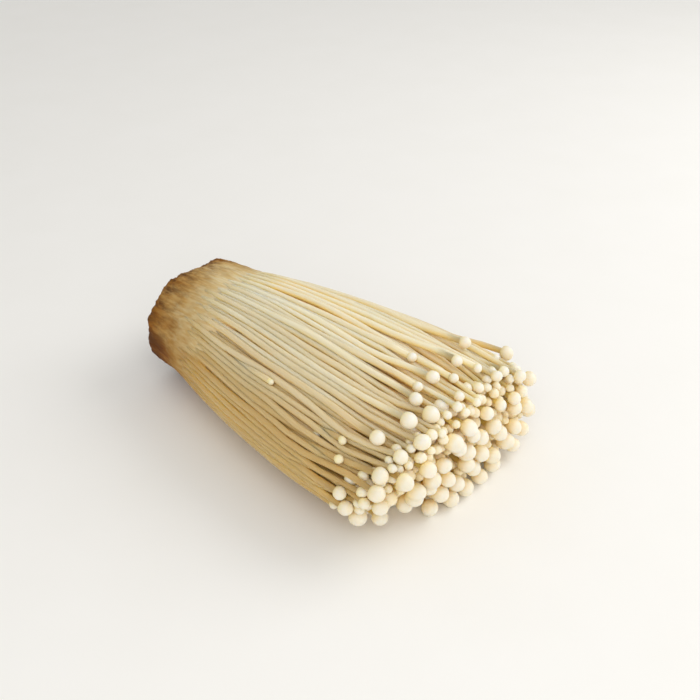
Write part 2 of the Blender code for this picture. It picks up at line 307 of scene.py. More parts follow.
def thin_mushrooms(standing, thin_count, fill_count, chance):
    """Thin mushrooms on the outside and within the bundle, each in the widest gap of several tries."""
    radii = standing[0].radii
    _, half_width, height, _ = section(MIDDLE_X)
    size = np.array([half_width, height / 2])
    taken = [mushroom.spot * size for mushroom in standing]
    made = []
    for low, high in [THIN_REACH] * thin_count + [FILL_REACH] * fill_count:
        reach = np.sqrt(chance.uniform(low**2, high**2, THIN_TRIES))
        angle = chance.uniform(0, 2 * math.pi, THIN_TRIES)
        tries = np.stack([reach * np.cos(angle), reach * np.sin(angle)], 1)
        room = np.linalg.norm((tries * size)[:, None] - np.array(taken)[None], axis=2).min(1)
        spot = tries[room.argmax()]
        taken.append(spot * size)
        there = place(FAN_X, spot, STEM_INSET)
        cap_x = front_x(there[1], there[2]) - chance.uniform(*THIN_SETBACK)
        cap_radius = chance.uniform(*THIN_CAPS)
        made.append(Mushroom(spot, radii, cap_x, cap_radius, chance.uniform(*THIN_SHARE)))
        made[-1].tuck = THIN_TUCK
        made[-1].white = THIN_WHITE
    free = made[:thin_count]
    for x, y, radius in SHORT_THIN_ONES:
        beside = take_nearest(free, x, y, section(x)[2] * SHORT_THIN_HEIGHT)
        short = Mushroom(beside.spot * BLUNT_REACH, radii, x, radius, beside.stem_share)
        short.leave = outward(short.spot) * BLUNT_LIFT
        short.white = BLUNT_WHITE
        made.append(short)
    return made


def waves(count, chance):
    """A gentle sideways wave for each path, which dies out at the foot."""
    grown = smooth_step((PATH_X - FOOT_X) / WAVE_GROWTH)
    total = np.zeros((count, len(PATH_X), 2))
    for length in WAVE_LENGTHS:
        size = chance.normal(0, WAVE_SIZE, (count, 1, 2))
        phase = chance.uniform(0, 2 * math.pi, (count, 1, 2))
        total += size * np.sin(PATH_X[None, :, None] * 2 * math.pi / length + phase)
    return total * grown[None, :, None]


def on_path(path, x):
    """The point at x on a path, which holds y and z for each of PATH_X."""
    return np.array([x, np.interp(x, PATH_X, path[:, 0]), np.interp(x, PATH_X, path[:, 1])])


def neighbours(paths):
    """The pairs of mushrooms whose paths come near each other: an array of the first and one of the second."""
    gap = paths[:, None, ::NEAR_STEP] - paths[None, :, ::NEAR_STEP]
    nearest = np.hypot(gap[..., 0], gap[..., 1]).min(2)
    return np.nonzero(np.triu(nearest < NEAR, 1))


def bend_filter():
    """The matrix that leaves only the bends that a stem can make in the sideways moves of a path."""
    centres = np.arange(PATH_X[0], PATH_X[-1] + BEND_STEP, BEND_STEP)
    bends = np.exp(-(((PATH_X[:, None] - centres) / BEND_STEP) ** 2))
    return bends @ np.linalg.pinv(bends, rcond=BEND_CUTOFF)


def give_way(gap, reach, counts=1.0):
    """How far the second of each pair gives way: half of the overlap. Only pairs that count do."""
    distance = np.linalg.norm(gap, axis=-1) + TINY
    over = np.clip(reach - distance, 0, None) * counts
    return gap * (over / distance / 2)[..., None]


def kept_inside(paths, inset, limit):
    """The paths drawn back to a share of the envelope less inset: a limit of 1 is its outline."""
    reach = reach_at(PATH_X[None], paths[..., 0], paths[..., 1], inset)
    middle = np.array([[section(x)[0], section(x)[3] + WIDEST * section(x)[2]] for x in PATH_X])
    return middle + (paths - middle) * np.minimum(1, limit / np.maximum(reach, TINY))[..., None]


def shrunk_caps(cap, distance, first, second):
    """The caps' radii, made smaller where caps at those distances still press on each other."""
    for _ in range(SHRINK_TURNS):
        over = cap[first] + cap[second] - CAP_PRESS - distance
        less = np.zeros(len(cap))
        np.maximum.at(less, first, over)
        np.maximum.at(less, second, over)
        cap = np.maximum(cap - less / SHRINK_SLOWNESS, np.minimum(cap, SMALLEST_CAP))
    return cap


def settle(mushrooms, chance):
    """Lets stems and caps push each other aside until they lie side by side, and keeps each one's path."""
    count = len(mushrooms)
    dive = DIVE_DEPTH * smooth_step((PATH_X - DIVE_FROM) / (DIVE_TO - DIVE_FROM))
    home = np.array([[m.point(x, depth)[1:] for x, depth in zip(PATH_X, dive)] for m in mushrooms])
    home += waves(count, chance)
    stem = np.array([m.stem_radius(PATH_X) for m in mushrooms])
    cap = np.array([m.cap_radius for m in mushrooms])
    first_cap_x = np.array([m.cap_x for m in mushrooms])
    limit = np.array([[FREE_REACH if m.leave.any() else 1.0] for m in mushrooms])
    first, second = neighbours(home)
    capped, passing = np.concatenate([first, second]), np.concatenate([second, first])
    everyone = np.arange(count)
    stiff = bend_filter()
    paths, cap_x = home, first_cap_x
    for _ in range(SETTLE_TURNS):
        # Stems push each other as far as they reach.
        move = np.zeros_like(paths)
        exists = PATH_X[None] < (cap_x - cap)[:, None]
        reach = SQUEEZE * (stem[first] + stem[second])
        push = give_way(paths[second] - paths[first], reach, exists[first] & exists[second])
        np.add.at(move, second, push)
        np.add.at(move, first, -push)

        # Caps push each other. A cap lies between two points of its path, the lower one and the next.
        step = np.clip((cap_x - PATH_X[0]) / PATH_STEP, 0, len(PATH_X) - 1 - PATH_END)
        low = step.astype(int)
        part = (step - low)[:, None]
        beside = paths[everyone, low] * (1 - part) + paths[everyone, low + 1] * part
        centre = np.concatenate([cap_x[:, None], beside], 1)
        push = give_way(centre[second] - centre[first], cap[first] + cap[second])
        shift = np.zeros((count, 3))
        np.add.at(shift, second, push)
        np.add.at(shift, first, -push)

        # Caps and the stems that pass them push each other.
        low_of, part_of = low[capped], part[capped]
        stems_there = paths[passing, low_of] * (1 - part_of) + paths[passing, low_of + 1] * part_of
        reach = cap[capped] + stem[passing, low_of]
        goes_on = cap_x[passing] > cap_x[capped] + cap[passing]
        push = give_way(stems_there - beside[capped], reach, goes_on)
        np.add.at(shift[:, 1:], capped, -push)
        np.add.at(move, (passing, low_of), push)
        np.add.at(move, (passing, low_of + 1), push)
        np.add.at(move, (everyone, low), shift[:, 1:])
        np.add.at(move, (everyone, low + 1), shift[:, 1:])

        # Each gives way stiffly, within the envelope and on the ground.
        furthest_back, furthest_on = first_cap_x - CAP_SLIDE[0], first_cap_x + CAP_SLIDE[1]
        cap_x = np.clip(cap_x + shift[:, 0] * EASE, furthest_back, furthest_on)
        away = np.einsum("kl,nlc->nkc", stiff, paths + move * EASE - home)
        paths = kept_inside(home + away * (1 - HOLD), stem + dive[None], limit)
        at_cap = np.abs(PATH_X[None] - cap_x[:, None]) < PATH_STEP
        ground = np.where(at_cap, cap[:, None], stem) - BUNCH_SHIFT[2]
        paths[..., 1] = np.maximum(paths[..., 1], ground)
    centre = np.array([on_path(path, x) for path, x in zip(paths, cap_x)])
    distance = np.linalg.norm(centre[second] - centre[first], axis=1)
    cap = shrunk_caps(cap, distance, first, second)
    for mushroom, path, x, radius in zip(mushrooms, paths, cap_x, cap):
        mushroom.path = path
        mushroom.cap_x = float(x)
        mushroom.cap_radius = float(radius)


@functools.cache
def settled(stem_radius, neck_radius, cap_radius, thin_count, fill_count):
    """All the mushrooms, settled: the outer ones, which stand for CAD nodes, the inner and the thin ones."""
    radii = (TIP_RADIUS, FOOT_RADIUS, stem_radius, neck_radius)
    mushrooms = [Mushroom(spot, radii) for spot in spread_spots(MUSHROOM_COUNT)]
    mushrooms.sort(key=lambda m: -math.hypot(*m.spot))
    outer, inner = mushrooms[:SINGLE_COUNT], mushrooms[SINGLE_COUNT:]
    outer.sort(key=lambda m: math.atan2(m.spot[1], m.spot[0]))
    mushrooms = outer + inner
    set_layers(mushrooms, cap_radius)
    set_short_ones(outer)
    chance = np.random.default_rng(SEED)
    for mushroom in mushrooms:
        mushroom.cap_radius *= chance.uniform(*CAP_CHANCE)
    thin = thin_mushrooms(mushrooms, thin_count, fill_count, chance)
    settle(mushrooms + thin, chance)
    return outer, inner, thin


def bunch(settings):
    """The settled mushrooms for the user's settings, whose lengths are in metres."""
    sizes = settings.stem_radius, settings.neck_radius, settings.cap_radius
    sizes = [round(size / MM, 3) for size in sizes]
    return settled(*sizes, settings.thin_count, settings.fill_count)


def linear(text):
    """A colour as sRGB hex turned to Blender's linear values."""
    values = [int(text[i : i + 2], 16) / 255 for i in (1, 3, 5)]
    return tuple(v / 12.92 if v <= 0.04045 else ((v + 0.055) / 1.055) ** 2.4 for v in values)


def deselect():
    if bpy.context.mode != "OBJECT":
        bpy.ops.object.mode_set(mode="OBJECT")
    bpy.ops.object.select_all(action="DESELECT")


def draw_out(name, rows, sides):
    """A closed round body along X: a disc drawn out and scaled row by row, with its end merged to a tip."""
    deselect()
    x, radius = rows[0]
    bpy.ops.mesh.primitive_circle_add(
        vertices=sides, radius=radius, fill_type="NGON", location=(x, 0, 0), rotation=(0, math.pi / 2, 0)
    )
    obj = bpy.context.object
    obj.name = name
    bpy.ops.object.transform_apply(location=True, rotation=True, scale=True)
    bpy.ops.object.mode_set(mode="EDIT")
    bpy.ops.mesh.select_mode(type="FACE")
    bpy.ops.mesh.select_all(action="SELECT")
    for (x, radius), (next_x, next_radius) in zip(rows, rows[1:]):
        share = next_radius / radius
        bpy.ops.mesh.extrude_region_move(TRANSFORM_OT_translate={"value": (next_x - x, 0, 0)})
        bpy.ops.transform.resize(value=(1, share, share), center_override=(next_x, 0, 0))
    bpy.ops.mesh.merge(type="CENTER")
    bpy.ops.mesh.select_all(action="SELECT")
    bpy.ops.mesh.normals_make_consistent(inside=False)
    bpy.ops.object.mode_set(mode="OBJECT")
    bpy.ops.object.shade_smooth()
    return obj


def coordinates(obj):
    values = np.empty(len(obj.data.vertices) * 3)
    obj.data.vertices.foreach_get("co", values)
    return values.reshape(-1, 3)


def set_coordinates(obj, points):
    obj.data.vertices.foreach_set("co", np.asarray(points, np.float32).ravel())
    obj.data.update()


def set_attribute(obj, name, kind, values):
    attribute = obj.data.attributes.new(name, kind, "POINT")
    slot = "vector" if kind == "FLOAT_VECTOR" else "value"
    attribute.data.foreach_set(slot, np.asarray(values, np.float32).ravel())


STEM_END = 1.5  # between the stem's rows and the cap's in a template
CAP_AT = 3.0  # the cap's centre in a template, whose stem runs from x = 0 to x = 1
STEM_ROWS = tuple(np.linspace(0, 1, 15))
CAP_ROWS = (  # (place from the cap's centre, radius), as shares of the cap's radius
    (-0.84, 0.60),
    (-0.70, 0.83),
    (-0.42, 0.97),
    (-0.05, 1.02),
    (0.32, 0.96),
    (0.62, 0.78),
    (0.85, 0.50),
    (0.97, 0.22),
    (1.0, 0.02),
)
THIN_STEM_ROWS = tuple(np.linspace(0, 1, 9))
THIN_CAP_ROWS = ((-0.7, 0.75), (-0.2, 1.0), (0.45, 0.88), (0.85, 0.45), (1.0, 0.02))
NECK = 0.86  # how far the neck lies behind the cap's centre, as a share of the cap's radius
NECK_BEND = 6.0  # the cap looks the way that its path takes over this length
NECK_ROOM = 2.0  # the last point of the path lies at least this far behind the neck
PAST_CAP = 3.0  # how far the line goes on past the cap's centre, as a share of the cap's radius
CAP_TILT = 0.1
CAP_LONG, CAP_TALL = (0.98, 1.1), (0.95, 1.03)  # how long and how tall a cap is for its width
CAP_BULGE = 0.03
GRAIN_SHIFT = 500.0  # each mushroom has another place in the grain's pattern


def mushroom_template(stem_rows, cap_rows, sides, materials):
    """A straight mushroom with a stem of unit radius and a cap of unit radius, to be fitted and bent."""
    rows = [(share, 1.0) for share in stem_rows]
    rows += [(CAP_AT + along, wide) for along, wide in cap_rows]
    obj = draw_out("template", rows, sides)
    for material in materials:
        obj.data.materials.append(material)
    for face in obj.data.polygons:
        face.material_index = int(face.center.x > STEM_END)
    return obj


def path_points(mushroom, start, tilt):
    """The points that a mushroom follows, in mm: its settled path, its neck and a point past its cap."""
    centre = on_path(mushroom.path, mushroom.cap_x)
    direction = centre - on_path(mushroom.path, mushroom.cap_x - NECK_BEND)
    direction = direction / np.linalg.norm(direction) + tilt
    direction /= np.linalg.norm(direction)
    neck = centre - direction * mushroom.cap_radius * NECK
    stem_x = [start, *(x for x in PATH_X if start < x < neck[0] - NECK_ROOM)]
    points = [on_path(mushroom.path, x) for x in stem_x]
    return np.array([*points, neck, centre + direction * mushroom.cap_radius * PAST_CAP])


def fit_template(obj, mushroom, start, neck_at, chance):
    """Gives a straight template the mushroom's own lengths and radii, and marks its grain, its tone with
    painted shade, and its cap.
    """
    co = coordinates(obj)
    is_cap = co[:, 0] > STEM_END
    roll = chance.uniform(0, 2 * math.pi)
    y = co[:, 1] * math.cos(roll) - co[:, 2] * math.sin(roll)
    z = co[:, 1] * math.sin(roll) + co[:, 2] * math.cos(roll)
    long, tall = chance.uniform(*CAP_LONG), chance.uniform(*CAP_TALL)
    radius = mushroom.cap_radius
    stem_x = start + co[:, 0] * (mushroom.cap_x - start)
    wide = np.where(is_cap, radius, mushroom.stem_radius(stem_x))
    cap_along = neck_at + NECK * radius + (co[:, 0] - CAP_AT) * radius * long
    along = np.where(is_cap, cap_along, co[:, 0] * neck_at)
    straight = np.stack([along, y * wide, z * wide * np.where(is_cap, tall, 1.0)], 1)
    bulge = chance.normal(0, CAP_BULGE, 3)
    swell = 1 + (bulge[0] * y + bulge[1] * z + bulge[2] * y * z) * is_cap
    straight[:, 1:] *= swell[:, None]
    set_coordinates(obj, straight * MM)
    grain = straight + [0, chance.uniform(0, GRAIN_SHIFT), chance.uniform(0, GRAIN_SHIFT)]
    set_attribute(obj, "grain", "FLOAT_VECTOR", grain)
    # Painted shade by height and on the -y side, with a random tone on top.
    _, side, height = on_path(mushroom.path, TONE_X)
    tone_and_painted_shade = smooth_step((PAINTED_SHADE_HIGH - height) / (PAINTED_SHADE_HIGH - PAINTED_SHADE_LOW)) + chance.normal(0, TONE_CHANCE)
    tone_and_painted_shade += PAINTED_SHADE_SIDE * min(max(-side / PAINTED_SHADE_SIDE_Y, 0.0), 1.0)
    set_attribute(obj, "tone_and_painted_shade", "FLOAT", np.full(len(co), min(max(tone_and_painted_shade, 0.0), 1.0)))
    set_attribute(obj, "cap", "FLOAT", np.where(is_cap, (co[:, 0] - CAP_AT + 1) / 2 * mushroom.white, 0))


def bend_along(obj, points):
    """Bends a straight object along a line through the points, with a Curve modifier that is applied."""
    curve = bpy.data.curves.new("path", "CURVE")
    curve.dimensions = "3D"
    spline = curve.splines.new("POLY")
    spline.points.add(len(points) - 1)
    for target, point in zip(spline.points, points):
        target.co = (*(point * MM), 1.0)
    guide = bpy.data.objects.new("path", curve)
    bpy.context.scene.collection.objects.link(guide)
    bend = obj.modifiers.new("along_path", "CURVE")
    bend.object = guide
    bend.deform_axis = "POS_X"
    bpy.context.view_layer.objects.active = obj
    bpy.ops.object.modifier_apply(modifier=bend.name)
    bpy.data.objects.remove(guide)
    bpy.data.curves.remove(curve)


def put_in_place(obj, points):
    """Moves points in the layout's mm to the frame's place, and keeps them above the ground."""
    points = points + BUNCH_SHIFT
    points[:, 2] = np.maximum(points[:, 2], 0.0)
    set_coordinates(obj, points * MM)


def lay_mushroom(template, name, mushroom, start, chance):
    """A copy of the template with the mushroom's own lengths and radii, bent along its path."""
    tilt = np.array([0.0, *chance.normal(0, CAP_TILT, 2)])
    points = path_points(mushroom, start, tilt)
    obj = template.copy()
    obj.data = template.data.copy()
    obj.name = name
    bpy.context.scene.collection.objects.link(obj)
    neck_at = np.linalg.norm(np.diff(points, axis=0), axis=1)[:-1].sum()
    fit_template(obj, mushroom, start, neck_at, chance)
    bend_along(obj, points)
    mark_painted_glow(obj)
    put_in_place(obj, coordinates(obj) / MM)
    return obj


# Where the painted glow of the gaps, warm light painted in where shade falls, starts and is full, as depths
# from the sides and from the face of the fan.
SIDE_GLOW_DEPTHS, FRONT_GLOW_DEPTHS = (1.4, 5.5), (0.8, 4.5)
FACE_AHEAD = 3.0  # how far the foremost caps stand out of the face
FLANK_X, FLANK = (-25.0, 30.0), (1.0, 0.6)  # flanks that face other mushrooms have it too, most near the foot
FLANK_FROM, FLANK_TO = 0.7, -0.1
LEAST_DEPTH = 0.5


def mark_painted_glow(obj):
    """Keeps at each vertex how far it is turned or sunk into the bundle, 0 on the outside and 1 far in: the
    share of painted glow, warm light painted where shade falls.
    """
    x, y, z = (coordinates(obj) / MM).T
    middle_y, half_width, height, underside = (np.polyval(curve, x) for curve in STATION_CURVES)
    side = (1 - reach_at(x, y, z, 0.0)) * height / 2
    front = front_x(y, z) + FACE_AHEAD - x
    deep = np.minimum(np.interp(side, SIDE_GLOW_DEPTHS, (0, 1)), np.interp(front, FRONT_GLOW_DEPTHS, (0, 1)))
    normals = np.empty(len(obj.data.vertices) * 3)
    obj.data.vertices.foreach_get("normal", normals)
    # The way out is to the side or through the face, by which of the two is nearer.
    across, up = (y - middle_y) / half_width**2, (z - underside - WIDEST * height) / (height / 2) ** 2
    share = np.clip(side, 0, None) / (np.clip(side, 0, None) + np.clip(front, LEAST_DEPTH, None))
    out = np.stack([share, *(1 - share) * np.stack([across, up]) / np.hypot(across, up)], 1)
    facing = (normals.reshape(-1, 3) * out).sum(1) / np.linalg.norm(out, axis=1)
    turned = np.clip((FLANK_FROM - facing) / (FLANK_FROM - FLANK_TO), 0, 1) * np.interp(x, FLANK_X, FLANK)
    set_attribute(obj, "painted_glow", "FLOAT", 1 - (1 - deep) * (1 - turned))


def joined(name, objects):
    deselect()
    for obj in objects:
        obj.select_set(True)
    bpy.context.view_layer.objects.active = objects[0]
    bpy.ops.object.join()
    objects[0].name = name
    return objects[0]


def finish_piece(obj, nodes):
    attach(obj, BODY)
    if nodes:
        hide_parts(*nodes)


MIX_SHARE, MIX_FIRST, MIX_SECOND, MIX_RESULT = 0, 6, 7, 2  # a Mix node's sockets for colours
PAINT = {"data_type": "RGBA"}
TINT = {"data_type": "RGBA", "blend_type": "MULTIPLY"}


def add_node(tree, kind, settings=None, inputs=None):
    """Adds a node with its settings. Each input is set to a value, or linked to another node's output."""
    node = tree.nodes.new("ShaderNode" + kind)
    for name, value in (settings or {}).items():
        setattr(node, name, value)
    for name, value in (inputs or {}).items():
        socket = node.inputs[name]
        if isinstance(value, bpy.types.NodeSocket):
            tree.links.new(value, socket)
        elif socket.type == "RGBA":
            socket.default_value = (*value, 1.0)
        else:
            socket.default_value = value
    return node


def new_material(name):
    """The material of that name with no nodes: a new one, or the one that is there."""
    material = bpy.data.materials.get(name) or bpy.data.materials.new(name)
    material.use_nodes = True
    material.node_tree.nodes.clear()
    return material, material.node_tree


# Where the colours change along the bunch, as shares of its length from the cut end.
CUT_AT, BROWN_AT, BEIGE_AT, SAND_AT, PALE_AT, CREAM_AT = 0.0, 0.06, 0.12, 0.19, 0.28, 0.42
BROWN, BEIGE, SAND, PALE = "#78480D", "#A8782E", "#CDAD70", "#E4D4A8"
HALF_LENGTH = 0.0752
TOP_FROM, TOP_TO, TOP_PAINTED_LIGHT = 0.020, 0.042, 0.10  # painted light: the foot's top is painted paler than its sides
TONE_X, PAINTED_SHADE_LOW, PAINTED_SHADE_HIGH, TONE_CHANCE = 20.0, 8.0, 50.0, 0.12  # low mushrooms are painted darker and more straw-coloured as painted shade, with a random tone on top
PAINTED_SHADE_SIDE, PAINTED_SHADE_SIDE_Y = 0.5, 40.0  # and so are those on the -y side, as painted shade


def foot_colour(tree, settings):
    """The colour along the bunch: brown at the cut, beige, then the stems' cream. The change wanders."""
    where = add_node(tree, "TexCoord").outputs["Object"]
    place_of = add_node(tree, "SeparateXYZ", inputs={"Vector": where}).outputs
    # The patches that let it wander are 6 mm wide and 25 mm long.
    drawn = add_node(tree, "Mapping", inputs={"Vector": where, "Scale": (1 / 4, 1.0, 1.0)})
    patches = {"Vector": drawn.outputs["Vector"], "Scale": 160.0, "Detail": 4.0}
    patches = add_node(tree, "TexNoise", inputs=patches).outputs["Fac"]
    wander = {"Value": patches, "From Min": 0.3, "From Max": 0.7, "To Min": -0.05, "To Max": 0.05}
    wander = add_node(tree, "MapRange", inputs=wander).outputs["Result"]
    share = {"Value": place_of["X"], "From Min": -HALF_LENGTH, "From Max": HALF_LENGTH}
    share = add_node(tree, "MapRange", inputs=share).outputs["Result"]
    # Painted light: the top of the foot is moved towards the paler colours, as if lit from above.
    painted_top_light = {"Value": place_of["Z"], "From Min": TOP_FROM, "From Max": TOP_TO, "To Max": TOP_PAINTED_LIGHT}
    painted_top_light = add_node(tree, "MapRange", inputs=painted_top_light).outputs["Result"]
    total = add_node(tree, "Math", {"operation": "ADD"}, {0: share, 1: wander}).outputs["Value"]
    total = add_node(tree, "Math", {"operation": "ADD"}, {0: total, 1: painted_top_light}).outputs["Value"]
    stops = (
        (CUT_AT, settings.cut_colour),
        (BROWN_AT, linear(BROWN)),
        (BEIGE_AT, linear(BEIGE)),
        (SAND_AT, linear(SAND)),
        (PALE_AT, linear(PALE)),
        (CREAM_AT, settings.stem_colour),
    )
    ramp = add_node(tree, "ValToRGB", inputs={"Fac": total})
    elements = ramp.color_ramp.elements
    for index, (position, colour) in enumerate(stops):
        element = elements[index] if index < 2 else elements.new(position)
        element.position = position
        element.color = (*colour, 1.0)
    return ramp.outputs["Color"]


def stem_material(settings):
    """Fresh enoki stem: moist fine-fibred flesh.

    It is cream, satin and faintly streaked along, and light that enters it leaves again within about 3 mm.
    """
    material, tree = new_material("fresh_enoki_stem")
    grain = add_node(tree, "Attribute", {"attribute_name": "grain"}).outputs["Vector"]
    tone_and_painted_shade = add_node(tree, "Attribute", {"attribute_name": "tone_and_painted_shade"}).outputs["Fac"]
    painted_glow = add_node(tree, "Attribute", {"attribute_name": "painted_glow"}).outputs["Fac"]
    # The real fibres are about 0.1 mm wide. The streaks are 0.6 mm wide and 8 mm long, so that they show.
    drawn = add_node(tree, "Mapping", inputs={"Vector": grain, "Scale": (1 / 12.5, 1.0, 1.0)})
    streak = {"Vector": drawn.outputs["Vector"], "Scale": 1.6, "Detail": 3.0}
    streak = add_node(tree, "TexNoise", inputs=streak).outputs["Fac"]
    share = {"Value": streak, "From Min": 0.3, "From Max": 0.7, "To Max": 0.22}
    share = add_node(tree, "MapRange", inputs=share).outputs["Result"]
    base = {MIX_SHARE: share, MIX_FIRST: foot_colour(tree, settings), MIX_SECOND: linear("#EEDAA2")}
    base = add_node(tree, "Mix", TINT, base).outputs[MIX_RESULT]
    # Painted shade: low mushrooms and those on the -y side are multiplied towards the darker straw colour,
    # with some random tone.
    base = {MIX_SHARE: tone_and_painted_shade, MIX_FIRST: base, MIX_SECOND: settings.straw_and_painted_shade_colour}
    base = add_node(tree, "Mix", TINT, base).outputs[MIX_RESULT]
    # Painted glow: warm light painted deep between the mushrooms and on flanks that face them, where shade
    # falls.
    base = {MIX_SHARE: painted_glow, MIX_FIRST: base, MIX_SECOND: settings.painted_glow_colour}
    base = add_node(tree, "Mix", PAINT, base).outputs[MIX_RESULT]
    bump = {"Height": streak, "Strength": 0.4, "Distance": 0.00006}
    flesh = {
        "Base Color": base,
        "Normal": add_node(tree, "Bump", inputs=bump).outputs["Normal"],
        "Roughness": 0.42,
        "IOR": 1.4,
        "Subsurface Weight": 1.0,
        "Subsurface Radius": (1.0, 0.93, 0.76),
        "Subsurface Scale": 0.0026,
    }
    shader = add_node(tree, "BsdfPrincipled", inputs=flesh)
    add_node(tree, "OutputMaterial", inputs={"Surface": shader.outputs["BSDF"]})
    return material


def cap_material(settings):
    """Fresh enoki cap: smooth taut skin over white flesh, so it is near white with a soft sheen."""
    material, tree = new_material("fresh_enoki_cap")
    grain = add_node(tree, "Attribute", {"attribute_name": "grain"}).outputs["Vector"]
    tone_and_painted_shade = add_node(tree, "Attribute", {"attribute_name": "tone_and_painted_shade"}).outputs["Fac"]
    painted_glow = add_node(tree, "Attribute", {"attribute_name": "painted_glow"}).outputs["Fac"]
    height = add_node(tree, "Attribute", {"attribute_name": "cap"}).outputs["Fac"]
    # Faint creamy clouds, 2 mm across.
    cloud = {"Vector": grain, "Scale": 0.5, "Detail": 3.0}
    cloud = add_node(tree, "TexNoise", inputs=cloud).outputs["Fac"]
    share = {"Value": cloud, "From Min": 0.35, "From Max": 0.7, "To Max": 0.5}
    share = add_node(tree, "MapRange", inputs=share).outputs["Result"]
    crown = {MIX_SHARE: share, MIX_FIRST: settings.cap_colour, MIX_SECOND: linear("#EFE7D4")}
    crown = add_node(tree, "Mix", PAINT, crown).outputs[MIX_RESULT]
    # The rim is yellower, partly where the skin turns under and partly as painted shade where a cap meets its
    # neighbours.
    rim = {"Value": height, "From Min": 0.1, "From Max": 0.62, "To Min": 1.0, "To Max": 0.0}
    rim = add_node(tree, "MapRange", inputs=rim).outputs["Result"]
    base = {MIX_SHARE: rim, MIX_FIRST: crown, MIX_SECOND: linear("#F2E3AE")}
    base = add_node(tree, "Mix", PAINT, base).outputs[MIX_RESULT]
    # Painted shade: caps of low mushrooms and of those on the -y side are a little darker, with some random
    # tone.
    base = {MIX_SHARE: tone_and_painted_shade, MIX_FIRST: base, MIX_SECOND: linear("#FEFAF0")}
    base = add_node(tree, "Mix", TINT, base).outputs[MIX_RESULT]
    # Painted glow: caps deep in the bunch get a little of the warm light painted into the gaps.
    warm = add_node(tree, "Math", {"operation": "MULTIPLY"}, {0: painted_glow, 1: 0.35}).outputs["Value"]
    base = {MIX_SHARE: warm, MIX_FIRST: base, MIX_SECOND: settings.painted_glow_colour}
    flesh = {
        "Base Color": add_node(tree, "Mix", PAINT, base).outputs[MIX_RESULT],
        "Roughness": 0.38,
        "IOR": 1.4,
        "Subsurface Weight": 0.9,
        "Subsurface Radius": (1.0, 0.92, 0.74),
        "Subsurface Scale": 0.002,
    }
    shader = add_node(tree, "BsdfPrincipled", inputs=flesh)
    add_node(tree, "OutputMaterial", inputs={"Surface": shader.outputs["BSDF"]})
    return material


def foot_material(settings):
    """Cut mycelium foot: spongy and dry at the cut, so it is matt, mottled brown and streaked along."""
    material, tree = new_material("cut_mycelium_foot")
    where = add_node(tree, "TexCoord").outputs["Object"]
    place_of = add_node(tree, "SeparateXYZ", inputs={"Vector": where}).outputs
    # Painted shade: the lower foot is multiplied towards the darker straw colour.
    low = {"Value": place_of["Z"], "From Min": PAINTED_SHADE_LOW * MM, "From Max": PAINTED_SHADE_HIGH * MM}
    low = add_node(tree, "MapRange", inputs={**low, "To Min": 1.0, "To Max": 0.0}).outputs["Result"]
    base = {MIX_SHARE: low, MIX_FIRST: foot_colour(tree, settings), MIX_SECOND: settings.straw_and_painted_shade_colour}
    base = add_node(tree, "Mix", TINT, base).outputs[MIX_RESULT]
    # Its front shows only between the stems, where it has some of the painted glow of the gaps, warm light
    # painted where shade falls.
    sunk = {"Value": place_of["X"], "From Min": -0.040, "From Max": -0.026, "To Max": 0.3}
    sunk = add_node(tree, "MapRange", inputs=sunk).outputs["Result"]
    base = {MIX_SHARE: sunk, MIX_FIRST: base, MIX_SECOND: settings.painted_glow_colour}
    base = add_node(tree, "Mix", PAINT, base).outputs[MIX_RESULT]
    # Dark smears 3 mm wide and 9 mm long, which stay near the cut.
    drawn = add_node(tree, "Mapping", inputs={"Vector": where, "Scale": (1 / 3, 1.0, 1.0)})
    smear = {"Vector": drawn.outputs["Vector"], "Scale": 330.0, "Detail": 6.0, "Roughness": 0.7}
    smear = add_node(tree, "TexNoise", inputs=smear).outputs["Fac"]
    patch = {"Value": smear, "From Min": 0.42, "From Max": 0.62, "To Max": 0.9}
    patch = add_node(tree, "MapRange", inputs=patch).outputs["Result"]
    near_cut = {"Value": place_of["X"], "From Min": -0.068, "From Max": -0.046, "To Min": 1.0, "To Max": 0.0}
    near_cut = add_node(tree, "MapRange", inputs=near_cut).outputs["Result"]
    dark = add_node(tree, "Math", {"operation": "MULTIPLY"}, {0: patch, 1: near_cut}).outputs["Value"]
    base = {MIX_SHARE: dark, MIX_FIRST: base, MIX_SECOND: settings.smear_colour}
    base = add_node(tree, "Mix", PAINT, base).outputs[MIX_RESULT]
    # Torn fibres 1.1 mm wide and 9 mm long.
    drawn = add_node(tree, "Mapping", inputs={"Vector": where, "Scale": (1 / 8, 1.0, 1.0)})
    fibre = {"Vector": drawn.outputs["Vector"], "Scale": 900.0, "Detail": 4.0}
    fibre = add_node(tree, "TexNoise", inputs=fibre).outputs["Fac"]
    share = {"Value": fibre, "From Min": 0.35, "From Max": 0.65, "To Max": 0.7}
    share = add_node(tree, "MapRange", inputs=share).outputs["Result"]
    base = {MIX_SHARE: share, MIX_FIRST: base, MIX_SECOND: linear("#E6CB96")}
    bump = {"Height": fibre, "Strength": 0.6, "Distance": 0.0003}
    sponge = {
        "Base Color": add_node(tree, "Mix", TINT, base).outputs[MIX_RESULT],
        "Normal": add_node(tree, "Bump", inputs=bump).outputs["Normal"],
        "Roughness": 0.75,
        "Specular IOR Level": 0.2,
        "Subsurface Weight": 0.1,
        "Subsurface Radius": (1.0, 0.6, 0.25),
        "Subsurface Scale": 0.002,
    }
    shader = add_node(tree, "BsdfPrincipled", inputs=sponge)
    add_node(tree, "OutputMaterial", inputs={"Surface": shader.outputs["BSDF"]})
    return material


RIM_X, RIM_DROP = 4.2, 1.8  # how far the top of the cut is worn away, along and down
RIM_Y, RIM_WIDTH, RIM_FADE = 4.0, 13.0, 14.0
RIM_LOW, RIM_HIGH = 26.0, 40.0
BASE_SIDES = 300
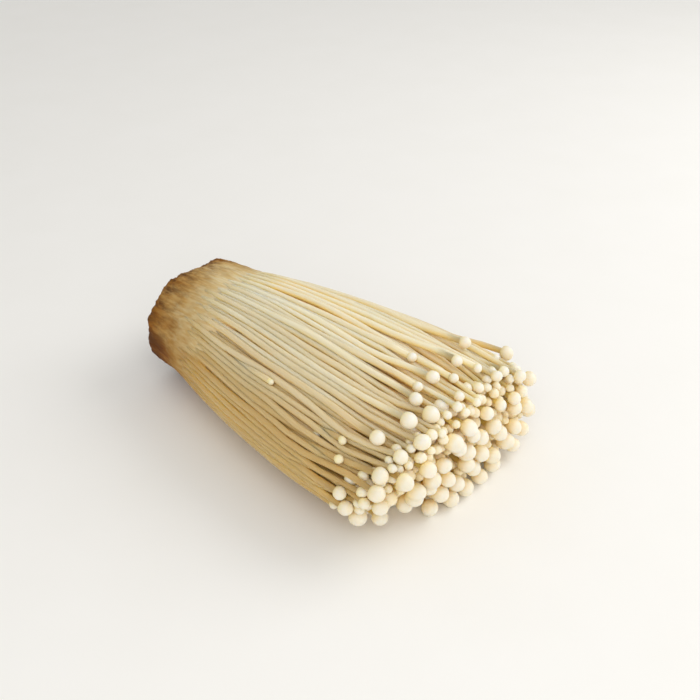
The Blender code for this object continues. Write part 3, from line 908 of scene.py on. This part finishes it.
# The foot is drawn row by row: its cut face, its edge, its side and the front that the stems hide.
CUT_SCALES = (0.02, 0.15, 0.3, 0.45, 0.6, 0.72, 0.82, 0.89, 0.94)  # of the outline, in the cut face
EDGE_ROWS = ((0.5, 0.97), (1.3, 0.99), (2.3, 1.0), (3.5, 1.0))  # (distance from the cut, scale)
SIDE_ROWS = (*np.arange(5.0, 30.0, 1.5), *np.arange(31.0, 48.0, 2.0), 50.0)  # distances from the cut
FRONT_ROWS = ((53.0, 0.95), (54.0, 0.5), (54.0, 0.02))
BASE_ROWS = (
    *((0.0, scale) for scale in CUT_SCALES),
    *EDGE_ROWS,
    *((along, 1.0) for along in SIDE_ROWS),
    *FRONT_ROWS,
)
# How far it lies within the envelope, so that the stems stand out of it: (distances from the cut), (insets).
INSET_ALONG = (5.0, 9.5, 14.0, 21.5, 23.0, 29.0, 31.0, 35.0, 39.0, 41.0, 43.0, 45.0, 47.0, 50.0, 53.0)
INSETS = (0.0, 0.45, 0.75, 1.0, 1.0, 1.2, 1.3, 1.4, 1.6, 1.75, 1.95, 2.2, 2.5, 3.2, 4.0)
TORN_LENGTH = 12.0  # how far from the cut its surface is torn
LUMPS, FIBRES, TORN = (9.0, 1.5, 1.6), (0.9, 9.0, 0.7), (2.2, 1.2, 2.2)  # (size, stretch, strength)


def foot_point(row, y, z):
    """The place on the foot for a point on a row of the round body that it is made from."""
    along, scale = BASE_ROWS[min(round(row), len(BASE_ROWS) - 1)]
    length = math.hypot(y, z) or 1.0
    inset = np.interp(along, INSET_ALONG, INSETS)
    point = place(CUT_X + along, (scale * y / length, scale * z / length), inset)
    slant = CUT_SLANT[0] * point[1] + CUT_SLANT[1] * (point[2] - section(CUT_X)[2] / 2)
    point[0] += slant * (1 - min(along / (FOOT_X - CUT_X), 1))
    worn = math.exp(-(((point[1] - RIM_Y) / RIM_WIDTH) ** 2))
    worn *= smooth_step((point[2] - RIM_LOW) / (RIM_HIGH - RIM_LOW)) * smooth_step(1 - along / RIM_FADE)
    return point + np.array([RIM_X, 0.0, -RIM_DROP]) * worn


def displace(obj, name, size, stretch, strength, group=""):
    """Moves the surface in and out by clouds of that size in mm, drawn out along X, and applies it."""
    texture = bpy.data.textures.new(name, "CLOUDS")
    texture.noise_scale = 1.0
    texture.noise_depth = 2
    guide = bpy.data.objects.new(name, None)
    guide.scale = (size * MM * stretch, size * MM, size * MM)
    bpy.context.scene.collection.objects.link(guide)
    modifier = obj.modifiers.new(name, "DISPLACE")
    modifier.texture = texture
    modifier.texture_coords = "OBJECT"
    modifier.texture_coords_object = guide
    modifier.strength = strength * MM
    modifier.mid_level = 0.5
    modifier.vertex_group = group
    bpy.context.view_layer.objects.active = obj
    bpy.ops.object.modifier_apply(modifier=name)
    bpy.data.objects.remove(guide)
    bpy.data.textures.remove(texture)


class RootBaseOperator(bpy.types.Operator):
    """Makes the fused, cut foot of the bunch."""

    bl_idname = "enoki.root_base"
    bl_label = "Root base"

    def execute(self, context):
        rows = [(float(index), 1.0) for index in range(len(BASE_ROWS))]
        obj = draw_out("fused_foot", rows, BASE_SIDES)
        set_coordinates(obj, np.array([foot_point(*point) for point in coordinates(obj)]) * MM)
        weights = obj.vertex_groups.new(name="cut")
        for vertex in obj.data.vertices:
            weight = 1 - (vertex.co.x / MM - CUT_X) / TORN_LENGTH
            weights.add([vertex.index], min(max(weight, 0.0), 1.0), "REPLACE")
        displace(obj, "lumps", *LUMPS)
        displace(obj, "fibres", *FIBRES)
        displace(obj, "torn", *TORN, group="cut")
        obj.vertex_groups.clear()
        put_in_place(obj, coordinates(obj) / MM)
        obj.data.materials.append(foot_material(context.scene.enoki))
        finish_piece(obj, ["root_base"])
        return {"FINISHED"}


TEMPLATE_SIDES, INNER_SIDES, THIN_SIDES = 14, 12, 8
OUTER_SEED, INNER_SEED, THIN_SEED = 11, 12, 13
INNER_START = -46.0  # where the inner stems start, hidden in the foot
INNER_GROUPS, THIN_GROUPS = 4, 5


def laid_groups(template, mushrooms, count, name, start, chance):
    """Lays mushrooms and joins them in that many groups, side by side across the bunch."""
    ordered = sorted(mushrooms, key=lambda m: m.spot[0])
    for number, part in enumerate(np.array_split(np.arange(len(ordered)), count), 1):
        made = [lay_mushroom(template, name, ordered[index], start, chance) for index in part]
        yield joined(f"{name}_{number}", made)


class OuterMushroomsOperator(bpy.types.Operator):
    """Makes the outer mushrooms, one piece for each CAD node."""

    bl_idname = "enoki.outer_mushrooms"
    bl_label = "Outer mushrooms"

    def execute(self, context):
        settings = context.scene.enoki
        materials = stem_material(settings), cap_material(settings)
        template = mushroom_template(STEM_ROWS, CAP_ROWS, TEMPLATE_SIDES, materials)
        chance = np.random.default_rng(OUTER_SEED)
        for number, mushroom in enumerate(bunch(settings)[0], 1):
            obj = lay_mushroom(template, f"enoki_{number:02d}", mushroom, PATH_X[0], chance)
            finish_piece(obj, [f"mushroom_{number:02d}"])
        bpy.data.objects.remove(template)
        return {"FINISHED"}


class InnerMushroomsOperator(bpy.types.Operator):
    """Makes the inner mushrooms, whose caps fill the face of the fan, in four groups."""

    bl_idname = "enoki.inner_mushrooms"
    bl_label = "Inner mushrooms"

    def execute(self, context):
        settings = context.scene.enoki
        materials = stem_material(settings), cap_material(settings)
        template = mushroom_template(STEM_ROWS, CAP_ROWS, INNER_SIDES, materials)
        chance = np.random.default_rng(INNER_SEED)
        inner = bunch(settings)[1]
        for obj in laid_groups(template, inner, INNER_GROUPS, "inner_enoki", INNER_START, chance):
            finish_piece(obj, ["root_base"])
        bpy.data.objects.remove(template)
        return {"FINISHED"}


class ThinMushroomsOperator(bpy.types.Operator):
    """Makes the thin mushrooms that fill the gaps of the bundle, in five groups."""

    bl_idname = "enoki.thin_mushrooms"
    bl_label = "Thin mushrooms"

    def execute(self, context):
        settings = context.scene.enoki
        materials = stem_material(settings), cap_material(settings)
        template = mushroom_template(THIN_STEM_ROWS, THIN_CAP_ROWS, THIN_SIDES, materials)
        chance = np.random.default_rng(THIN_SEED)
        thin = bunch(settings)[2]
        for obj in laid_groups(template, thin, THIN_GROUPS, "thin_enoki", PATH_X[0], chance):
            finish_piece(obj, [])
        bpy.data.objects.remove(template)
        return {"FINISHED"}


# The camera's place, the way that it looks and its focal length, all in mm.
EYE = (245.76, -248.81, 251.08)
AIM = (-0.5754, 0.6203, -0.5337)
LENS, SENSOR = 57.3, 36.0
# The soft lamps, which look at the middle of the bunch: (name, place, width, power, colour).
LAMPS = (
    ("key", (0.30, 0.55, 0.50), 0.6, 2.3, (1.0, 0.985, 0.965)),
    ("fill", (0.50, -0.42, 0.46), 0.7, 1.9, (1.0, 0.99, 0.975)),
)
LAMP_AIM = (0.0, 0.0, 0.02)
STUDIO_COLOUR, STUDIO_STRENGTH = "#F8F7F5", 0.68
FLOOR_SIZE, FLOOR_LEVEL = 6.0, -0.0001
BOUNCES = 10  # light goes on from stem to stem deep into the gaps


def add_lamp(name, position, size, power, colour):
    lamp = bpy.data.lights.new(name, "AREA")
    lamp.shape = "DISK"
    lamp.size = size
    lamp.energy = power
    lamp.color = colour
    obj = bpy.data.objects.new(name, lamp)
    obj.location = position
    obj.rotation_euler = (Vector(LAMP_AIM) - Vector(position)).to_track_quat("-Z", "Y").to_euler()
    bpy.context.scene.collection.objects.link(obj)


def floor_material(settings):
    """Pale painted board: matt and even, with very faint clouds 33 mm across, so that it stays plain."""
    material, tree = new_material("pale_painted_board")
    where = add_node(tree, "TexCoord").outputs["Object"]
    cloud = {"Vector": where, "Scale": 30.0, "Detail": 2.0}
    cloud = add_node(tree, "TexNoise", inputs=cloud).outputs["Fac"]
    base = {MIX_SHARE: cloud, MIX_FIRST: settings.floor_colour, MIX_SECOND: linear("#F9F8F5")}
    base = add_node(tree, "Mix", PAINT, base).outputs[MIX_RESULT]
    shader = add_node(tree, "BsdfPrincipled", inputs={"Base Color": base, "Roughness": 0.7})
    add_node(tree, "OutputMaterial", inputs={"Surface": shader.outputs["BSDF"]})
    return material


class StageOperator(bpy.types.Operator):
    """Makes the floor, the soft studio light and the camera."""

    bl_idname = "enoki.stage"
    bl_label = "Stage"

    def execute(self, context):
        deselect()
        bpy.ops.mesh.primitive_plane_add(size=FLOOR_SIZE, location=(0, 0, FLOOR_LEVEL))
        floor = bpy.context.object
        floor.name = "floor"
        floor.data.materials.append(floor_material(context.scene.enoki))
        world = bpy.data.worlds.new("studio")
        world.use_nodes = True
        background = world.node_tree.nodes["Background"]
        background.inputs["Color"].default_value = (*linear(STUDIO_COLOUR), 1.0)
        background.inputs["Strength"].default_value = STUDIO_STRENGTH
        context.scene.world = world
        for lamp in LAMPS:
            add_lamp(*lamp)
        camera = bpy.data.objects.new("camera", bpy.data.cameras.new("camera"))
        camera.data.lens = LENS
        camera.data.sensor_width = SENSOR
        camera.data.clip_start = 0.01
        camera.location = Vector(EYE) * MM
        camera.rotation_euler = Vector(AIM).to_track_quat("-Z", "Y").to_euler()
        context.scene.collection.objects.link(camera)
        context.scene.camera = camera
        context.scene.view_settings.view_transform = "Standard"
        context.scene.cycles.diffuse_bounces = BOUNCES
        return {"FINISHED"}


def length(name, description, default):
    return bpy.props.FloatProperty(
        name=name, description=description, default=default, min=0.0, unit="LENGTH"
    )


def colour(name, description, default):
    return bpy.props.FloatVectorProperty(
        name=name, description=description, default=linear(default), min=0.0, max=1.0, subtype="COLOR"
    )


def number(name, description, default):
    return bpy.props.IntProperty(name=name, description=description, default=default, min=10, max=400)


class EnokiSettings(bpy.types.PropertyGroup):
    """The sizes, counts and colours of the bunch."""

    stem_radius: length("Stem radius", "Radius of a full-grown stem at its thickest", 1.33 * MM)
    neck_radius: length("Neck radius", "Radius of a full-grown stem under its cap", 1.05 * MM)
    cap_radius: length("Cap radius", "Radius of the foremost caps", 3.0 * MM)
    thin_count: number("Thin mushrooms", "How many thin mushrooms stand on the outside", 170)
    fill_count: number("Inner thin mushrooms", "How many thin mushrooms stand within the bundle", 90)
    cap_colour: colour("Caps", "The crown of a cap", "#EEECE5")
    stem_colour: colour("Stems", "Stems on the top of the bunch", "#F0E8CF")
    # Painted shade: the darker straw colour of the low stems and of those on the -y side, with some random
    # tone.
    straw_and_painted_shade_colour: colour("Straw", "Multiplies the colour of the low stems", "#D6BE90")
    # Painted glow: the warm light painted deep between the mushrooms, where shade falls.
    painted_glow_colour: colour("Gaps", "Flesh deep between the mushrooms", "#FFDE8C")
    cut_colour: colour("Cut", "The foot at the cut end", "#5C350D")
    smear_colour: colour("Smears", "Dark smears near the cut end", "#5E3A17")
    floor_colour: colour("Floor", "The board under the bunch", "#F6F5F1")


class EnokiPanel(bpy.types.Panel):
    """Lists the makers and the settings."""

    bl_idname = "VIEW3D_PT_enoki"
    bl_label = "Enoki mushroom bunch"
    bl_space_type = "VIEW_3D"
    bl_region_type = "UI"
    bl_category = "Enoki"

    def draw(self, context):
        for name in EnokiSettings.__annotations__:
            self.layout.prop(context.scene.enoki, name)
        for operator in OPERATORS:
            self.layout.operator(operator.bl_idname)


OPERATORS = (
    RootBaseOperator,
    OuterMushroomsOperator,
    InnerMushroomsOperator,
    ThinMushroomsOperator,
    StageOperator,
)
CLASSES = (EnokiSettings, *OPERATORS, EnokiPanel)


def register():
    for cls in CLASSES:
        bpy.utils.register_class(cls)
    bpy.types.Scene.enoki = bpy.props.PointerProperty(type=EnokiSettings)


def unregister():
    del bpy.types.Scene.enoki
    for cls in reversed(CLASSES):
        bpy.utils.unregister_class(cls)


def main():
    register()
    for obj in list(bpy.data.objects):
        if obj.name in ("Cube", "Light", "Camera"):
            bpy.data.objects.remove(obj)
    bpy.ops.enoki.root_base()
    bpy.ops.enoki.outer_mushrooms()
    bpy.ops.enoki.inner_mushrooms()
    bpy.ops.enoki.thin_mushrooms()
    bpy.ops.enoki.stage()


if __name__ == "__main__":
    main()
